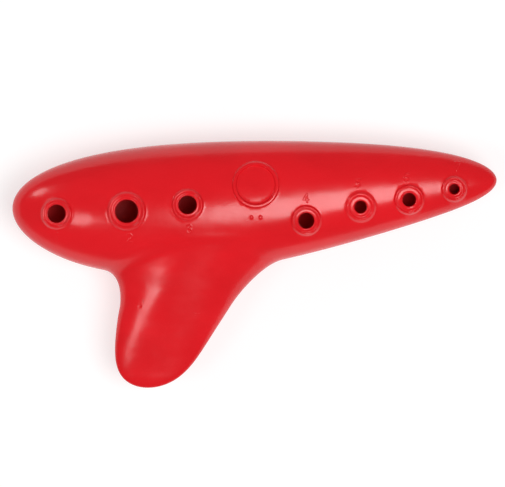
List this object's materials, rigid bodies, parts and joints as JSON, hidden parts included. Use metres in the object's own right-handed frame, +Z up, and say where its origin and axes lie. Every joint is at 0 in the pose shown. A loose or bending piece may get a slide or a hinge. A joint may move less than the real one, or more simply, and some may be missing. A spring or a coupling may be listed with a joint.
{
  "type": "ocarina",
  "caption": "Hollow moulded ocarina with a tapering torpedo body, a side mouthpiece, finger holes with raised collars, thumb holes at the back and a voicing window.",
  "frame": {"origin": "bottom centre of the bounding box; the instrument lies on its back with the finger holes up", "axes": "+X along the body towards the slender right-hand tip, +Y away from the mouthpiece, +Z up out of the finger-hole face"},
  "size_m": [0.16, 0.0815, 0.0331],
  "materials": {
    "shell_plastic": "gloss moulded red",
    "block_plastic": "moulded red, satin"
  },
  "bodies": {
    "root": {"front_shell": "shell_plastic", "back_shell": "shell_plastic", "windway_block": "block_plastic"}
  },
  "joints": []
}
